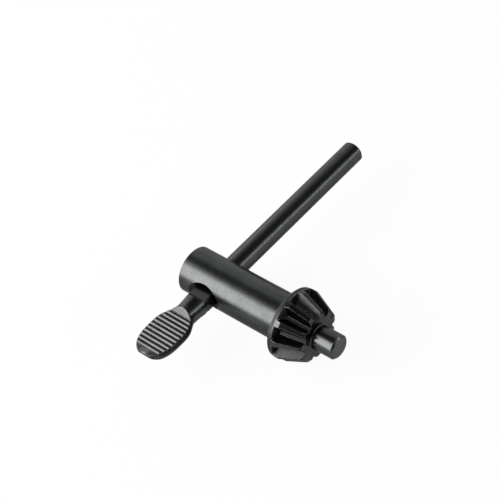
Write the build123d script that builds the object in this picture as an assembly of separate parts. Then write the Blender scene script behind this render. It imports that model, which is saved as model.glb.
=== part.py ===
from build123d import *
import math
import os

# Drill chuck key, in millimetres.
# The origin is the root of the pilot, where it leaves the front face of the pinion.
# +X runs along the barrel and out through the tip of the pilot, +Y along the handle to its plain end,
# and +Z is up, square to the thumb paddle.

# pilot
pilot_dia = 8.0
pilot_length = 8.0
pilot_chamfer = 0.65
pilot_end_radius = 0.5
pilot_root_fillet = 0.35

# pinion, with lengths measured back from its front face
teeth = 11
first_tooth_angle = 10.9
rim_dia = 23.5
rim_back = 10.4
rim_chamfer_length = 1.1
rim_chamfer_depth = 0.2
cone_start = 7.4
front_dia = 17.2
front_chamfer = 0.75
root_front_radius = 6.5
root_back_radius = 8.8
gap_floor_end = 7.9
gap_mouth_end = 9.0
gap_floor_width = 1.2
gap_flank_angle = 35.0
gap_corner_radius = 0.25

# barrel
barrel_dia = 15.4
barrel_end_chamfer = 0.12
face_to_hole = 39.5
hole_to_end = 10.15

# handle rod, pressed into the cross hole, whose countersink faces the paddle
rod_dia = 7.4
rod_reach = 69.3
rod_end_chamfer = 0.5
sink_mouth_dia = 12.5
sink_angle = 90.0

# spread part of the rod, squeezed between two flats at the mouth of the hole
spread_dia = 8.25
spread_end = 9.5
flats_height = 5.2
flats_start = 10.1
flats_end = 4.6
flats_ramp_angle = 50.0

# neck and paddle, with distances measured from the barrel's axis; the blank runs past the tip by the spare
neck_dia = 7.5
neck_narrow = 15.2
neck_sections = 4
flare_speed = 3.6
flare_softness = 2.9
flare_sections = 9
paddle_width = 13.1
paddle_widest = 25.5
paddle_tip = 35.25
blank_spare = 0.1
paddle_lift = 0.3
paddle_thickness = 3.2
tip_fullness = 2.5
tip_flat = 0.5
tip_height_ratio = 0.8
tip_sections = 8
nose_length = 1.7
nose_under_length = 4.5
nose_height = 0.3
shoulder_top = 16.35
shoulder_angle = 56.0

# ridges across the paddle, as many as fit between the shoulder and the nose
first_ridge_offset = 0.85
ridge_pitch = 1.54
ridge_height = 0.4
ridge_top_width = 0.3
ridge_slope = 45.0

barrel_radius = barrel_dia / 2
rod_radius = rod_dia / 2
neck_radius = neck_dia / 2
spread_radius = spread_dia / 2
sink_slope = math.tan(math.radians(sink_angle / 2))
sink_apex = barrel_radius - sink_mouth_dia / 2 / sink_slope
floor_half = paddle_thickness / 2 - ridge_height
blank_tip = paddle_tip + blank_spare


def turned_body():
    """Barrel, rim, tooth cone and pilot as one turned piece round the X axis."""
    rim_radius = rim_dia / 2
    front_radius = front_dia / 2
    pilot_radius = pilot_dia / 2
    cone_slope = (rim_radius - front_radius) / cone_start
    back = -(face_to_hole + hole_to_end)
    outline = [
        (back, 0),
        (back, barrel_radius - barrel_end_chamfer),
        (back + barrel_end_chamfer, barrel_radius),
        (-rim_back, barrel_radius),
        (-rim_back, rim_radius - rim_chamfer_depth),
        (-rim_back + rim_chamfer_length, rim_radius),
        (-cone_start, rim_radius),
        (-front_chamfer, front_radius + cone_slope * front_chamfer),
        (0, front_radius - front_chamfer),
        (0, pilot_radius),
        (pilot_length - pilot_chamfer, pilot_radius),
        (pilot_length, pilot_radius - pilot_chamfer),
        (pilot_length, 0),
    ]
    profile = make_face(Polyline(*outline, close=True))
    pilot_root = profile.vertices().sort_by_distance((0, pilot_radius, 0))[0]
    profile = fillet(pilot_root, pilot_root_fillet)
    end_corner = (pilot_length, pilot_radius - pilot_chamfer, 0)
    profile = fillet(profile.vertices().sort_by_distance(end_corner)[0], pilot_end_radius)
    return revolve(profile, Axis.X, 360)


def tooth_gap():
    """Cutter for one gap: a trapezoid drawn along the root line and stopped by a leaning back wall."""
    fall = math.atan2(root_back_radius - root_front_radius, gap_floor_end)
    depth = rim_dia / 2
    floor_half_width = gap_floor_width / 2
    mouth_half_width = floor_half_width + depth * math.tan(math.radians(gap_flank_angle))
    section = Polygon(
        (-floor_half_width, 0),
        (floor_half_width, 0),
        (mouth_half_width, depth),
        (-mouth_half_width, depth),
        align=None,
    )
    section = fillet(section.vertices().sort_by(Axis.Y)[0:2], gap_corner_radius)
    front = Plane(
        origin=(0, 0, root_front_radius),
        x_dir=(0, 1, 0),
        z_dir=(math.cos(fall), 0, -math.sin(fall)),
    )
    groove = extrude(front * section, amount=rim_back + pilot_length, both=True)
    wall_lean = (gap_mouth_end - gap_floor_end) / (rim_dia / 2 - root_back_radius)
    outside = rim_dia
    side_view = Plane.XZ * Polygon(
        (pilot_length, 0),
        (-gap_floor_end + root_back_radius * wall_lean, 0),
        (-gap_floor_end - (outside - root_back_radius) * wall_lean, outside),
        (pilot_length, outside),
        align=None,
    )
    return groove & extrude(side_view, amount=rim_dia, both=True)


def cross_hole():
    """Bore for the rod with a countersink on the paddle's side."""
    bore = Cylinder(rod_radius, 2 * barrel_dia, rotation=(90, 0, 0))
    sink_height = barrel_dia - sink_apex
    sink = Cone(
        sink_height * sink_slope,
        0,
        sink_height,
        rotation=(-90, 0, 0),
        align=(Align.CENTER, Align.CENTER, Align.MIN),
    )
    return Pos(-face_to_hole, 0, 0) * (bore + Pos(0, -barrel_dia, 0) * sink)


def key_body():
    """Turned piece with the tooth gaps and the cross hole cut into it."""
    body = turned_body() - cross_hole()
    gap = tooth_gap()
    pitch = 360 / teeth
    for number in range(teeth):
        body -= Rot(first_tooth_angle + (number + 0.5) * pitch, 0, 0) * gap
    return body


def spread_rod():
    """Plain rod and its spread part, whose shoulder seats in the countersink."""
    seat_start = sink_apex + rod_radius / sink_slope
    seat_end = sink_apex + spread_radius / sink_slope
    outline = [
        (0, rod_reach),
        (rod_radius - rod_end_chamfer, rod_reach),
        (rod_radius, rod_reach - rod_end_chamfer),
        (rod_radius, -seat_start),
        (spread_radius, -seat_end),
        (spread_radius, -spread_end),
        (0, -spread_end),
    ]
    return revolve(make_face(Polyline(*outline, close=True)), Axis.Y, 360)


def superellipse(share, fullness):
    """Height of a curve that falls from 1 to 0 as share goes from 0 to 1, boxier when fuller."""
    return (1 - share**fullness) ** (1 / fullness)


def flare_share(distance):
    """How far along the flare a distance is: 0 at the narrowest neck, 1 at the widest paddle."""
    share = (distance - neck_narrow) / (paddle_widest - neck_narrow)
    return min(max(share, 0), 1)


def half_width(distance):
    """Half the width of the neck and paddle at a distance from the barrel's axis."""
    wide = paddle_width / 2
    if distance > paddle_widest:
        tip_share = (distance - paddle_widest) / (blank_tip - paddle_widest)
        return wide * superellipse(tip_share, tip_fullness)
    if distance > neck_narrow:
        flare = (1 - (1 - flare_share(distance)) ** flare_speed) ** flare_softness
        return neck_radius + (wide - neck_radius) * flare
    swell = (neck_narrow - distance) / (neck_narrow - spread_end)
    return neck_radius + (spread_radius - neck_radius) * swell**2 * (3 - 2 * swell)


def half_height(distance):
    """Half the height of the blank: round to the narrowest neck, then as high as that neck."""
    wide = half_width(distance)
    if distance > paddle_widest:
        return min(neck_radius, tip_height_ratio * wide)
    return wide if distance < neck_narrow else neck_radius


def forged_blank():
    """Neck and paddle before pressing: a loft of ovals along the handle."""
    neck_step = (neck_narrow - spread_end) / neck_sections
    flare_step = (paddle_widest - neck_narrow) / flare_sections
    last_share = superellipse(tip_flat / (paddle_width / 2), tip_fullness)
    tip_step = math.asin(last_share) / (tip_sections - 1)
    tip_run = blank_tip - paddle_widest
    stations = [spread_end + neck_step * number for number in range(neck_sections)]
    stations += [neck_narrow + flare_step * number for number in range(flare_sections)]
    stations += [
        paddle_widest + tip_run * math.sin(tip_step * number) for number in range(tip_sections)
    ]
    sections = []
    for distance in stations:
        share = flare_share(distance)
        middle = (0, -distance, paddle_lift * share * (2 - share))
        plane = Plane(origin=middle, x_dir=(1, 0, 0), z_dir=(0, -1, 0))
        sections.append(plane * Ellipse(half_width(distance), half_height(distance)))
    return loft(sections)


def ridged_line(nose_start):
    """Side view of one pressed face: shoulder, then as many ridges as end before the nose."""
    lean = math.tan(math.radians(shoulder_angle))
    crest = rod_dia
    shoulder_foot = shoulder_top + (neck_radius - paddle_lift - floor_half) / lean
    shoulder_head = shoulder_foot - (crest - floor_half) / lean
    half_top = ridge_top_width / 2
    half_base = half_top + ridge_height / math.tan(math.radians(ridge_slope))
    first_ridge = shoulder_foot + first_ridge_offset
    ridges = 1 + int((nose_start - half_base - first_ridge) / ridge_pitch)
    line = [(-spread_end, crest), (-shoulder_head, crest), (-shoulder_foot, floor_half)]
    for number in range(ridges):
        middle = -first_ridge - number * ridge_pitch
        line += [
            (middle + half_base, floor_half),
            (middle + half_top, floor_half + ridge_height),
            (middle - half_top, floor_half + ridge_height),
            (middle - half_base, floor_half),
        ]
    return line + [(-nose_start, floor_half)]


def press_profile():
    """Side view of the pressed paddle, whose nose is two quarter ellipses that meet at the tip."""
    upper = ridged_line(paddle_tip - nose_length)
    lower = [(y, -z) for y, z in reversed(ridged_line(paddle_tip - nose_under_length))]
    nose_top = EllipticalCenterArc(
        (upper[-1][0], nose_height), nose_length, floor_half - nose_height, 90
    )
    nose_under = EllipticalCenterArc(
        (lower[0][0], nose_height), nose_under_length, floor_half + nose_height, 180
    )
    side_view = make_face([Polyline(*upper), nose_top, nose_under, Polyline(*lower, upper[0])])
    return Plane.YZ * Pos(0, paddle_lift, 0) * side_view


def flat_cutter():
    """Slab above one pressed flat, with a ramp at each end of the flat."""
    flat = flats_height / 2
    rise = spread_dia - flat
    run = rise / math.tan(math.radians(flats_ramp_angle))
    side_view = Polygon(
        (-flats_start, flat),
        (-flats_start - run, flat + rise),
        (-flats_end + run, flat + rise),
        (-flats_end, flat),
        align=None,
    )
    return extrude(Plane.YZ * side_view, amount=paddle_width, both=True)


def handle_rod():
    """Round rod, spread part with its two flats, and the ridged thumb paddle, as one piece."""
    press = extrude(press_profile(), amount=paddle_width, both=True)
    handle = spread_rod() + (forged_blank() & press)
    cutter = flat_cutter()
    handle -= cutter
    handle -= mirror(cutter, about=Plane.XY)
    return Pos(-face_to_hole, 0, 0) * handle


os.makedirs("parts", exist_ok=True)
for name, solid in {"key_body": key_body(), "handle_rod": handle_rod()}.items():
    export_step(solid, f"parts/{name}.step")
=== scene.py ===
import bpy
import math
from mathutils import Matrix, Vector


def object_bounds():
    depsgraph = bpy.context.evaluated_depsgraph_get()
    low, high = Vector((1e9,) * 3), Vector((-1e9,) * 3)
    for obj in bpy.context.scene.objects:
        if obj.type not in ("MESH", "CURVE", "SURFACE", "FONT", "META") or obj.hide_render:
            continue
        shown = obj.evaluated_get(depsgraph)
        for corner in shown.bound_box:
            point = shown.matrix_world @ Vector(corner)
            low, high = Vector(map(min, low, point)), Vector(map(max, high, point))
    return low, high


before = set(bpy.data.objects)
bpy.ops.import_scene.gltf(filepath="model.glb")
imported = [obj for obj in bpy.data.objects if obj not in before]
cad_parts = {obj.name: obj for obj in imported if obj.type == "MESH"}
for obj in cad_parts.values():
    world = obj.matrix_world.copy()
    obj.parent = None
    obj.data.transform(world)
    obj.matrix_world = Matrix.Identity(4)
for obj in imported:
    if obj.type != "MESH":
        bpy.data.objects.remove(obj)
cad_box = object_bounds()
low, high = cad_box

MM = 0.001
WHITE = (1.0, 1.0, 1.0)
OXIDE_TINT = (0.965, 1.035, 1.0)
KEY_COLOUR = (1.0, 0.955, 1.0)
# level direction from the object toward the viewer
VIEWER_SIDE = (0.743, -0.669, 0.0)
# the node editor shows the nodes in columns of cells
CELL_WIDTH, CELL_HEIGHT, COLUMN_CELLS = 220, 280, 6


def mm(*values):
    """Millimetres as metres."""
    return tuple(value * MM for value in values)


# Spans go from just outside a feature to just inside it. These are spans of key_body along x.
TEETH_FRONT, TEETH_BACK = mm(-0.01, -0.06), mm(-9.2, -8.8)
CHAMFER_FRONT, CHAMFER_BACK = mm(-0.02, -0.1), mm(-1.3, -1.1)
BEHIND_FRONT_FACE = mm(0.3, 0.0)
BACK_WALL = mm(-7.7, -8.0)
RIM_FRONT, RIM_BACK = mm(-9.1, -9.3), mm(-10.6, -10.4)
BARREL_FRONT, BARREL_BACK = mm(-12.0, -12.1), mm(-49.5, -49.4)
PILOT, PILOT_TIP = mm(0.2, 0.6), mm(7.9, 7.95)
# distance from the barrel's axis, just under its outside
HOLE_WALL = mm(7.66, 7.56)
# depth below the cone over the teeth, which widens from the front face back to the rim
CONE_FRONT_RADIUS, CONE_LENGTH, CONE_SLOPE = 8.6 * MM, 7.4 * MM, 0.4257
GAP, GAP_FLOOR, GAP_DEPTHS = mm(0.1, 0.5), mm(0.8, 1.2), mm(0.4, 1.2)
# height above the axis
GAPS_ABOVE, GAPS_ON_TOP = mm(-3.5, -1.0), mm(-3.5, 5.0)
# parts of the true normal: along x, away from the axis, along y and up
LEANS_FORWARD, FACES_OUTWARD = (0.7, 0.78), (0.6, 0.75)
FACES_ASIDE, FACES_UP = (-0.4, -0.55), (0.5, 0.6)

# spans of handle_rod along y, then along z and x
NECK_START, NECK_END = mm(-10.2, -10.8), mm(-17.0, -15.0)
SIDE_START, SIDE_END = mm(-16.5, -18.0), mm(-33.5, -32.5)
SCALY, PATCH, NOSE = mm(-32.8, -33.2), mm(-33.0, -33.3), mm(-34.1, -34.6)
NECK_SIDES, SIDE_BOTTOM, SIDE_TOP = mm(3.75, 3.2), mm(-0.2, 1.0), mm(1.6, 1.5)
PATCH_WIDTH = mm(-36.0, -38.0)

# tone of a feature as a multiple of the tone around it
GAP_SHADE_TONE, CHAMFER_GLINT_SHADE, BACK_WALL_SHADE_TONE, FLOOR_LIGHT_TONE, FLANK_HIGHLIGHT_TONE = 0.62, 0.5, 0.5, 1.8, 2.5
TIP_LIGHT_TONE, RIM_SHADE_TONE, HOLE_SHADE_TONE = 1.4, 0.7, 0.42
SIDE_SHADE_TONE, NECK_HIGHLIGHT_TONE, NOSE_TONE = 0.25, 1.6, 0.45
# added roughness
RIM_ROUGH, PILOT_ROUGH, SCALY_ROUGH, WORN_ROUGH = 0.2, -0.05, 0.15, 0.12
# share of the gaps' painted shade that is left below the axis
LOW_GAP_SHADE_SHARE = 0.1
# cutter marks along the gaps, and the share of wear and painted edge highlight that their edges lose
CUT_SCALE, CUT_HEIGHT, DEEP_EDGE_LOSS = (350.0, 3200.0, 3200.0), 3.5, 0.8
# pits of the paddle's tip, and the grey of the pale ones
PIT_SCALE, PIT_HEIGHT, PALE_PITS, PIT_GREY = 480.0, 40.0, (0.42, 0.58), 0.16

# the floor as reflections see it: an oval of painted shadow round the object, distance from its middle, and
# light there
OVAL_SHIFT, OVAL_SCALE = (0.028, -0.009, 0.0), (1.0, 0.45, 1.0)
OVAL_EDGE, PAINTED_SHADOW_LIGHT, OPEN_LIGHT = (0.015, 0.045), 0.45, 0.95
# distance from the origin toward the viewer, and the share of light that is left there
NEAR_VIEWER, VIEWER_LIGHT = (0.03, 0.12), 0.2
# plain white in what the camera sees of the floor; the rest is lit paper, which shows the shadow
CAMERA_WHITE = 0.94
PAPER_GREY = 0.9
# grey of the sky by height, and its dark side as the part of a direction that points at the viewer
SKY = ((0.0, 1.0), (0.2, 0.55), (0.4, 0.28), (0.55, 0.14), (0.7, 0.08), (0.9, 0.06))
SKY_DARK_SIDE, DARK_SIDE_TONE = (0.45, 0.8), 0.12


class Graph:
    """A node tree with short ways to add nodes to it."""

    def __init__(self, tree):
        tree.nodes.clear()
        self.nodes = tree.nodes
        self.links = tree.links

    def node(self, kind, **values):
        """A new node with its settings and input values."""
        column, row = divmod(len(self.nodes), COLUMN_CELLS)
        made = self.nodes.new(kind)
        made.location = (CELL_WIDTH * column, -CELL_HEIGHT * row)
        for key, value in values.items():
            if key in made.inputs:
                made.inputs[key].default_value = value
            else:
                setattr(made, key, value)
        return made

    def link(self, source, target):
        """Joins an output to an input."""
        self.links.new(source, target)

    def calc(self, operation, *values):
        """Math on sockets or numbers."""
        made = self.node("ShaderNodeMath", operation=operation)
        for socket, value in zip(made.inputs, values):
            if isinstance(value, float):
                socket.default_value = value
            else:
                self.link(value, socket)
        return made.outputs[0]

    def product(self, *factors):
        """All the factors multiplied."""
        result = factors[0]
        for factor in factors[1:]:
            result = self.calc("MULTIPLY", result, factor)
        return result

    def vector(self, operation, *values):
        """Vector math on sockets or triples of numbers."""
        made = self.node("ShaderNodeVectorMath", operation=operation)
        for socket, value in zip(made.inputs, values):
            if isinstance(value, tuple):
                socket.default_value = value
            else:
                self.link(value, socket)
        return made.outputs["Vector" if operation == "NORMALIZE" else "Value"]

    def split(self, vector):
        """The x, y and z of a vector."""
        made = self.node("ShaderNodeSeparateXYZ")
        self.link(vector, made.inputs["Vector"])
        return tuple(made.outputs)

    def fade(self, value, span, first=0.0, last=1.0):
        """Goes from first to last over a span of the value, and holds them outside it."""
        made = self.node("ShaderNodeMapRange")
        for name, number in zip(("From Min", "From Max", "To Min", "To Max"), (*span, first, last)):
            made.inputs[name].default_value = number
        self.link(value, made.inputs["Value"])
        return made.outputs["Result"]

    def between(self, value, first, second):
        """1 between two spans and 0 outside them."""
        return self.product(self.fade(value, first), self.fade(value, second))

    def noise(self, where, scale, detail):
        """Noise over the part; three scales pull it out along a direction."""
        if isinstance(scale, tuple):
            pull = self.node("ShaderNodeMapping", Scale=scale)
            self.link(where, pull.inputs["Vector"])
            where, scale = pull.outputs["Vector"], 1.0
        made = self.node("ShaderNodeTexNoise", Scale=scale, Detail=detail)
        self.link(where, made.inputs["Vector"])
        return made.outputs["Fac"]

    def ramp(self, value, points, tint=WHITE):
        """Tinted grey that follows (position, grey) points as the value rises."""
        made = self.node("ShaderNodeValToRGB")
        stops = made.color_ramp.elements
        while len(stops) > 1:
            stops.remove(stops[-1])
        for number, (position, grey) in enumerate(points):
            stop = stops[0] if number == 0 else stops.new(position)
            stop.position = position
            stop.color = (*(grey * part for part in tint), 1.0)
        self.link(value, made.inputs["Fac"])
        return made.outputs["Color"]

    def blend(self, share, colour, grey, mode="MIX"):
        """The colour, with a grey mixed or multiplied in as the share rises."""
        made = self.node("ShaderNodeMix", data_type="RGBA", blend_type=mode)
        self.link(share, made.inputs["Factor"])
        self.link(colour, made.inputs["A"])
        made.inputs["B"].default_value = (grey, grey, grey, 1.0)
        return made.outputs["Result"]


class Steel(Graph):
    """Black oxide over steel, with fine grain, tool marks along a direction and pale rubbed edges that are
    partly real rubbing and partly painted highlight.

    dark is the grey of the oxide and wear_and_glint that of the rubbed edges with their painted highlight,
    marks are the noise scales of the tool marks, rounding is the radius of the edges, and relief is the
    strength of the bump.
    """

    SPECULAR_TINT = (0.56, 0.56, 0.56, 1.0)
    # how far the rounded normal leaves the flat one at a worn edge with a painted highlight, as a dot
    # product
    EDGE, EDGE_SAMPLES = (0.995, 0.93), 8
    SCUFF_SCALE, SCUFFS = 900.0, (0.25, 0.55)
    MOTTLE_SCALE, MOTTLES, MOTTLE_PALE = 220.0, (0.3, 0.7), 1.25
    GRAIN_SCALE, GRAINS = 2600.0, (0.25, 0.75)
    SMOOTH, ROUGH = 0.24, 0.36
    MARK_HEIGHT = 0.5
    BUMP_DISTANCE = 0.03 * MM

    def __init__(self, name, dark, marks, rounding, wear_and_glint, relief):
        self.material = bpy.data.materials.new(name)
        self.material.use_nodes = True
        super().__init__(self.material.node_tree)
        self.wear_and_glint = wear_and_glint
        self.where = self.node("ShaderNodeTexCoord").outputs["Object"]
        self.x, self.y, self.z = self.split(self.where)
        geometry = self.node("ShaderNodeNewGeometry").outputs
        self.facing = geometry["True Normal"]
        rounded = self.node("ShaderNodeBevel", samples=self.EDGE_SAMPLES, Radius=rounding).outputs["Normal"]
        self.wear_and_glint_edges(self.vector("DOT_PRODUCT", rounded, geometry["Normal"]))
        self.add_grain(dark, marks)
        self.add_shader(rounded, relief)

    def wear_and_glint_edges(self, agreement):
        """Scuffed rubbing and painted edge highlight where the rounded normal and the flat one disagree."""
        scuffs = self.fade(self.noise(self.where, self.SCUFF_SCALE, 3.0), self.SCUFFS)
        self.worn_glint = self.product(self.fade(agreement, self.EDGE), scuffs)

    def add_grain(self, dark, marks):
        """Mottled tone, and grain and tool marks in the gloss and the height."""
        mottle = self.noise(self.where, self.MOTTLE_SCALE, 4.0)
        tones = zip(self.MOTTLES, (dark, self.MOTTLE_PALE * dark))
        self.tone = self.ramp(mottle, tones, OXIDE_TINT)
        grain = self.noise(self.where, self.GRAIN_SCALE, 5.0)
        self.rough = self.fade(grain, self.GRAINS, self.SMOOTH, self.ROUGH)
        self.height = grain
        self.raise_by(self.noise(self.where, marks, 3.0), self.MARK_HEIGHT)

    def add_shader(self, rounded, relief):
        """Metal shader, with a bump on the rounded normal."""
        out = self.node("ShaderNodeOutputMaterial")
        self.skin = self.node("ShaderNodeBsdfPrincipled", Metallic=1.0)
        self.skin.inputs["Specular Tint"].default_value = self.SPECULAR_TINT
        self.bump = self.node("ShaderNodeBump", Strength=relief, Distance=self.BUMP_DISTANCE)
        self.link(rounded, self.bump.inputs["Normal"])
        self.link(self.bump.outputs["Normal"], self.skin.inputs["Normal"])
        self.link(self.skin.outputs["BSDF"], out.inputs["Surface"])

    def shade(self, share, tone):
        """Multiplies the tone where the share is 1."""
        self.tone = self.blend(share, self.tone, tone, "MULTIPLY")

    def roughen(self, share, amount):
        """Adds to the roughness where the share is 1."""
        self.rough = self.calc("MULTIPLY_ADD", share, amount, self.rough)

    def raise_by(self, relief, amount):
        """Adds relief to the height of the bump."""
        self.height = self.calc("MULTIPLY_ADD", relief, amount, self.height)

    def finish(self):
        """Puts the rubbed edges with their painted highlight on top, joins the sockets to the shader and
        returns the material.
        """
        # rubbed edges are paler: partly real wear, partly a painted highlight
        self.tone = self.blend(self.worn_glint, self.tone, self.wear_and_glint)
        self.roughen(self.worn_glint, WORN_ROUGH)
        self.link(self.tone, self.skin.inputs["Base Color"])
        self.link(self.rough, self.skin.inputs["Roughness"])
        self.link(self.height, self.bump.inputs["Height"])
        return self.material


def from_axis(steel):
    """Direction away from the barrel's axis, distance from it, and depth below the cone over the teeth."""
    across = steel.node("ShaderNodeCombineXYZ")
    steel.link(steel.y, across.inputs["Y"])
    steel.link(steel.z, across.inputs["Z"])
    spoke = across.outputs["Vector"]
    radius = steel.vector("LENGTH", spoke)
    back = steel.calc("MINIMUM", steel.calc("MULTIPLY", steel.x, -1.0), CONE_LENGTH)
    cone = steel.calc("MULTIPLY_ADD", back, CONE_SLOPE, CONE_FRONT_RADIUS)
    return steel.vector("NORMALIZE", spoke), radius, steel.calc("SUBTRACT", cone, radius)


def tooth_gaps(steel, outward, depth):
    """Milled gaps: painted shade above the axis, painted light on their floors, a painted highlight on the
    flanks on top, and painted shade on the back walls and on the teeth's front chamfers.
    """
    teeth = steel.between(steel.x, TEETH_FRONT, TEETH_BACK)
    inside = steel.product(steel.fade(depth, GAP), teeth)
    # painted shade in the gaps, strongest above the axis
    shaded_above = steel.fade(steel.z, GAPS_ABOVE, LOW_GAP_SHADE_SHARE, 1.0)
    steel.shade(steel.product(inside, shaded_above), GAP_SHADE_TONE)

    lean_x, lean_y, lean_z = steel.split(steel.facing)
    # painted shade that dims the glint on the teeth's front chamfers
    dimmed_chamfer = steel.between(steel.x, CHAMFER_FRONT, CHAMFER_BACK)
    steel.shade(steel.product(steel.fade(lean_x, LEANS_FORWARD), dimmed_chamfer), CHAMFER_GLINT_SHADE)
    # painted shade on the gaps' back walls
    steel.shade(steel.product(inside, steel.fade(steel.x, BACK_WALL)), BACK_WALL_SHADE_TONE)

    # painted light on the gap floors
    faces_outward = steel.fade(steel.vector("DOT_PRODUCT", outward, steel.facing), FACES_OUTWARD)
    steel.shade(steel.product(faces_outward, inside, steel.fade(depth, GAP_FLOOR)), FLOOR_LIGHT_TONE)
    # painted highlight on the upper flanks that face the key light
    faces_light = steel.product(steel.fade(lean_y, FACES_ASIDE), steel.fade(lean_z, FACES_UP))
    steel.shade(steel.product(inside, steel.fade(steel.z, GAPS_ON_TOP), faces_light), FLANK_HIGHLIGHT_TONE)

    cuts = steel.noise(steel.where, CUT_SCALE, 2.0)
    steel.raise_by(steel.product(cuts, inside), CUT_HEIGHT)
    # edges deep in the gaps get less wear and less painted highlight
    deep_edges = steel.product(steel.fade(depth, GAP_DEPTHS), steel.fade(steel.x, BEHIND_FRONT_FACE))
    steel.worn_glint = steel.product(steel.worn_glint, steel.calc("MULTIPLY_ADD", deep_edges, -DEEP_EDGE_LOSS, 1.0))


def body_steel():
    """Turned barrel and ground pilot, with milled tooth gaps, a rougher rim behind them with painted shade,
    painted shade in the cross hole and painted light on the pilot's end.
    """
    steel = Steel(
        "body_oxide", dark=0.052, marks=(3500.0, 250.0, 250.0),
        rounding=0.18 * MM, wear_and_glint=0.33, relief=0.28,
    )
    outward, radius, depth = from_axis(steel)
    tooth_gaps(steel, outward, depth)

    rim = steel.between(steel.x, RIM_FRONT, RIM_BACK)
    # painted shade on the rim band, which dims its highlight
    steel.shade(rim, RIM_SHADE_TONE)
    steel.roughen(rim, RIM_ROUGH)
    # painted shade on the walls of the cross hole and its countersink, but not on the barrel's outside and
    # its end face
    barrel = steel.between(steel.x, BARREL_FRONT, BARREL_BACK)
    steel.shade(steel.product(steel.fade(radius, HOLE_WALL), barrel), HOLE_SHADE_TONE)
    # painted light on the pilot's end face
    steel.shade(steel.fade(steel.x, PILOT_TIP), TIP_LIGHT_TONE)
    steel.roughen(steel.fade(steel.x, PILOT), PILOT_ROUGH)
    return steel.finish()


def handle_steel():
    """Forged handle, with a band of painted shade on the paddle's side, painted light on the neck and a
    scaly skin past its last ridge.
    """
    steel = Steel(
        "handle_oxide", dark=0.053, marks=(3000.0, 200.0, 3000.0),
        rounding=0.45 * MM, wear_and_glint=0.1, relief=0.15,
    )
    scaly = steel.fade(steel.y, SCALY)
    pits = steel.noise(steel.where, PIT_SCALE, 5.0)
    steel.roughen(scaly, SCALY_ROUGH)
    steel.raise_by(steel.product(scaly, pits), PIT_HEIGHT)

    # painted shade in a band along the paddle's side
    side = steel.product(
        steel.between(steel.z, SIDE_BOTTOM, SIDE_TOP), steel.between(steel.y, SIDE_START, SIDE_END),
    )
    steel.shade(side, SIDE_SHADE_TONE)
    # painted highlight and painted light on the neck's sides
    neck = steel.product(steel.fade(steel.z, NECK_SIDES), steel.between(steel.y, NECK_START, NECK_END))
    steel.shade(neck, NECK_HIGHLIGHT_TONE)
    patch = steel.product(steel.fade(steel.y, PATCH), steel.fade(steel.x, PATCH_WIDTH))
    pale = steel.product(patch, steel.fade(pits, PALE_PITS))
    steel.tone = steel.blend(pale, steel.tone, PIT_GREY)
    steel.shade(steel.fade(steel.y, NOSE), NOSE_TONE)
    return steel.finish()


def paint(node_name, material):
    """Gives a CAD node one material over all of it."""
    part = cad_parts[node_name]
    part.data.materials.clear()
    part.data.materials.append(material)


def paper():
    """White paper that keeps the object's shadow.

    In reflections it is plain white light, with a painted shadow that greys it close to the object, and it
    is greyer on the viewer's side.
    """
    material = bpy.data.materials.new("paper")
    material.use_nodes = True
    graph = Graph(material.node_tree)
    out = graph.node("ShaderNodeOutputMaterial")
    mix = graph.node("ShaderNodeMixShader")
    matte = graph.node("ShaderNodeBsdfDiffuse", Color=(PAPER_GREY, PAPER_GREY, PAPER_GREY, 1.0))
    white = graph.node("ShaderNodeEmission", Color=(*WHITE, 1.0), Strength=1.0)
    rays = graph.node("ShaderNodeLightPath").outputs
    where = graph.node("ShaderNodeTexCoord").outputs["Object"]

    # painted shadow in what reflections see of the floor, in an oval round the object
    oval = graph.node("ShaderNodeMapping", Location=OVAL_SHIFT, Scale=OVAL_SCALE)
    graph.link(where, oval.inputs["Vector"])
    away = graph.vector("LENGTH", oval.outputs["Vector"])
    painted_shadow_light = graph.fade(away, OVAL_EDGE, PAINTED_SHADOW_LIGHT, OPEN_LIGHT)
    toward = graph.vector("DOT_PRODUCT", where, VIEWER_SIDE)
    dim = graph.fade(toward, NEAR_VIEWER, 1.0, VIEWER_LIGHT)
    mirrored = graph.calc("MAXIMUM", rays["Is Glossy Ray"], rays["Is Transmission Ray"])
    seen = graph.calc("MULTIPLY", rays["Is Camera Ray"], CAMERA_WHITE)

    graph.link(graph.calc("MAXIMUM", seen, graph.product(mirrored, painted_shadow_light, dim)), mix.inputs["Fac"])
    graph.link(matte.outputs["BSDF"], mix.inputs[1])
    graph.link(white.outputs["Emission"], mix.inputs[2])
    graph.link(mix.outputs["Shader"], out.inputs["Surface"])
    return material


def studio_floor(reach, level):
    """Square floor round the origin, reach metres to each side, at the given height."""
    mesh = bpy.data.meshes.new("floor")
    signs = [(-1, -1), (1, -1), (1, 1), (-1, 1)]
    mesh.from_pydata([(a * reach, b * reach, level) for a, b in signs], [], [(0, 1, 2, 3)])
    mesh.materials.append(paper())
    floor = bpy.data.objects.new("floor", mesh)
    bpy.context.scene.collection.objects.link(floor)
    return floor


def studio_world():
    """World light that is pale at the horizon, and dark overhead and on the viewer's side."""
    world = bpy.data.worlds.new("studio")
    world.use_nodes = True
    graph = Graph(world.node_tree)
    out = graph.node("ShaderNodeOutputWorld")
    back = graph.node("ShaderNodeBackground")
    where = graph.node("ShaderNodeTexCoord").outputs["Generated"]
    height = graph.split(where)[2]
    sky = graph.ramp(height, SKY)
    dark_side = graph.fade(graph.vector("DOT_PRODUCT", where, VIEWER_SIDE), SKY_DARK_SIDE)
    graph.link(graph.blend(dark_side, sky, DARK_SIDE_TONE, "MULTIPLY"), back.inputs["Color"])
    graph.link(back.outputs["Background"], out.inputs["Surface"])
    return world


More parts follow.
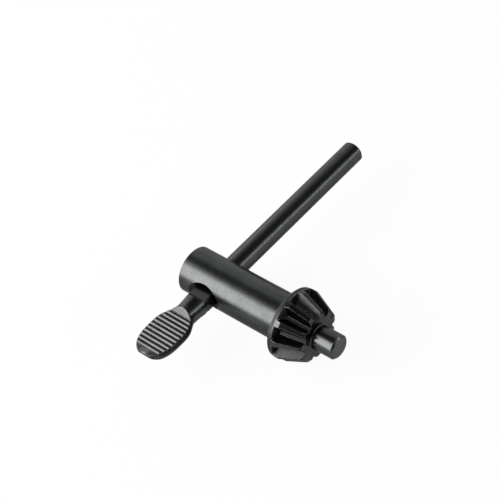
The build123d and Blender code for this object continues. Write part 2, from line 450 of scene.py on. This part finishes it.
def softbox(name, azimuth, elevation, distance, size, radiance, turn=0.0, colour=WHITE):
    """Rectangular area light that faces the middle of the object.

    The size is width by height in metres, and the turn is about the light's own axis, in degrees.
    """
    lamp = bpy.data.lights.new(name, "AREA")
    lamp.shape = "RECTANGLE"
    lamp.size, lamp.size_y = size
    lamp.energy = radiance * math.pi * size[0] * size[1]
    lamp.color = colour
    made = bpy.data.objects.new(name, lamp)
    bpy.context.scene.collection.objects.link(made)
    a, e = math.radians(azimuth), math.radians(elevation)
    way = Vector((math.cos(a) * math.cos(e), math.sin(a) * math.cos(e), math.sin(e)))
    side = Vector((-math.sin(a), math.cos(a), 0.0))
    made.matrix_world = (
        Matrix.Translation((low + high) / 2 + way * distance)
        @ Matrix((side, way.cross(side), way)).transposed().to_4x4()
        @ Matrix.Rotation(math.radians(turn), 4, "Z")
    )


def studio_camera():
    """Camera above the pilot's side of the object, looking down at it."""
    data = bpy.data.cameras.new("camera")
    data.lens = 112.58
    data.sensor_width = 36.0
    data.clip_start = 0.01
    data.clip_end = 20.0
    camera = bpy.data.objects.new("camera", data)
    bpy.context.scene.collection.objects.link(camera)
    camera.matrix_world = Matrix((
        (0.7605, -0.4017, 0.5101, 0.2121),
        (0.6358, 0.6200, -0.4597, -0.2115),
        (-0.1316, 0.6739, 0.7270, 0.3594),
        (0.0, 0.0, 0.0, 1.0),
    ))
    return camera


paint("key_body", body_steel())
paint("handle_rod", handle_steel())

studio_floor(3.0, low.z)
bpy.context.scene.world = studio_world()
softbox("key_wide", 235, 28, 0.8, (0.90, 0.86), 2.3, colour=KEY_COLOUR)
softbox("key_core", 232, 25, 0.78, (0.36, 0.66), 6.4, turn=20, colour=KEY_COLOUR)
softbox("side_left", 175, 20, 1.0, (1.00, 0.90), 1.35)
softbox("side_back", 122, 27, 1.0, (1.15, 1.10), 0.85)
softbox("strip", 22, 19, 0.8, (0.76, 0.14), 5.0)
bpy.context.scene.camera = studio_camera()

bpy.context.scene.view_settings.view_transform = "Standard"
